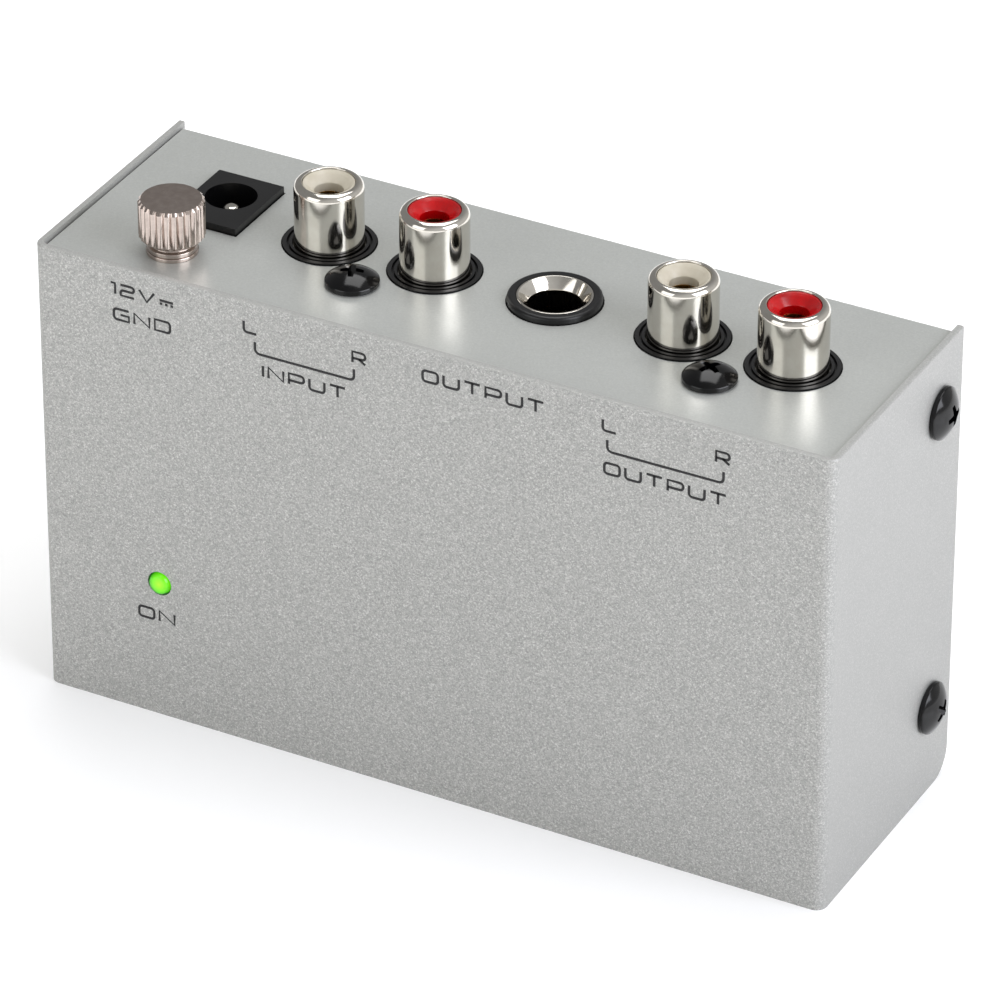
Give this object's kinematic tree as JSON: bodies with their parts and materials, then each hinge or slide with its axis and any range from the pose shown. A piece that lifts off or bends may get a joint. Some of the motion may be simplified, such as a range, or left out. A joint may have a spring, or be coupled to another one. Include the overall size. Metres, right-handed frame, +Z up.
{
  "type": "phono preamp",
  "caption": "Small metal phono preamp box with white and red phono sockets, a phone socket, a coaxial power socket, a knurled ground thumbscrew and a green power light.",
  "frame": {"origin": "middle of the part's footprint, on the surface that it stands on", "axes": "+X runs along the box, +Y from the printed cover to the back plate, +Z up out of the jack panel"},
  "size_m": [0.1078, 0.0362, 0.0686],
  "materials": {
    "cover_paint": "fine metallic silver-grey spray, satin",
    "chassis_paint": "smooth silver-grey spray, satin",
    "black_zinc": "glossy black zinc plate",
    "zinc": "bright zinc or tin plate",
    "rubber": "matt black rubber",
    "board_lacquer": "green solder lacquer on glass laminate",
    "capacitor_sleeve": "shrunk sleeve",
    "film_box": "moulded film capacitor box",
    "resistor_coat": "lacquered resistor coat",
    "black_moulding": "black moulded ABS",
    "nickel": "bright nickel plate",
    "contact_bronze": "phosphor bronze",
    "wire_sleeve": "green wire sleeve",
    "light_lens": "green tinted clear epoxy, lit",
    "spacer_nylon": "natural nylon",
    "white_insulator": "cream-white moulding",
    "red_insulator": "red moulding"
  },
  "bodies": {
    "box": {"cover": "cover_paint", "chassis": "chassis_paint", "side_screws": "black_zinc", "panel_screws": "black_zinc", "board_screws": "zinc", "board_standoffs": "zinc", "rubber_feet": "rubber", "circuit_board": "board_lacquer", "small_capacitors": "capacitor_sleeve", "reservoir_capacitor": "capacitor_sleeve", "film_capacitors": "film_box", "resistors": "resistor_coat", "polarity_diode": "black_moulding", "amplifier_chips": "black_moulding", "voltage_regulator": "black_moulding", "input_housing": "black_moulding", "output_housing": "black_moulding", "phone_socket_housing": "black_moulding", "phone_socket_ferrule": "nickel", "power_socket_housing": "black_moulding", "power_socket_pin": "nickel", "ground_nut": "zinc", "ground_lug": "zinc", "ground_wire": "wire_sleeve", "power_light": "light_lens", "light_spacer": "spacer_nylon", "light_leads": "zinc", "input_left_shell": "nickel", "input_left_insulator": "white_insulator", "input_left_contact": "contact_bronze", "input_right_shell": "nickel", "input_right_insulator": "red_insulator", "input_right_contact": "contact_bronze", "output_left_shell": "nickel", "output_left_insulator": "white_insulator", "output_left_contact": "contact_bronze", "output_right_shell": "nickel", "output_right_insulator": "red_insulator", "output_right_contact": "contact_bronze"},
    "terminal_washer": {"ground_washer": "nickel"},
    "terminal_knob": {"ground_thumbscrew": "nickel", "ground_stud": "nickel"},
    "phone_tip_blade": {"phone_tip_spring": "contact_bronze"},
    "phone_ring_blade": {"phone_ring_spring": "contact_bronze"},
    "power_blade": {"power_socket_spring": "contact_bronze"}
  },
  "joints": [
    {"name": "ground_lift", "type": "slide", "parent": "box", "child": "terminal_washer", "axis": [0, 0, 1], "range_m": [0, 0.0035]},
    {"name": "ground_turn", "type": "hinge", "parent": "terminal_washer", "child": "terminal_knob", "pos_m": [-0.0373, -0.0103, 0.0604], "axis": [0, 0, 1], "range_deg": [0, 1801]},
    {"name": "phone_tip_flex", "type": "hinge", "parent": "box", "child": "phone_tip_blade", "pos_m": [0.01245, 0.0004, 0.0538], "axis": [0, -1, 0], "range_deg": [0, 2.5], "stiffness_Nm_per_rad": 0.02},
    {"name": "phone_ring_flex", "type": "hinge", "parent": "box", "child": "phone_ring_blade", "pos_m": [0.00255, 0.0004, 0.0538], "axis": [0, 1, 0], "range_deg": [0, 3.8], "stiffness_Nm_per_rad": 0.02},
    {"name": "power_contact_flex", "type": "hinge", "parent": "box", "child": "power_blade", "pos_m": [-0.0369, -0.00125, 0.0517], "axis": [1, 0, 0], "range_deg": [0, 2.4], "stiffness_Nm_per_rad": 0.02}
  ],
  "couplings": [
    {"joint": "ground_turn", "follows": "ground_lift", "rad_per_m": 8976}
  ]
}
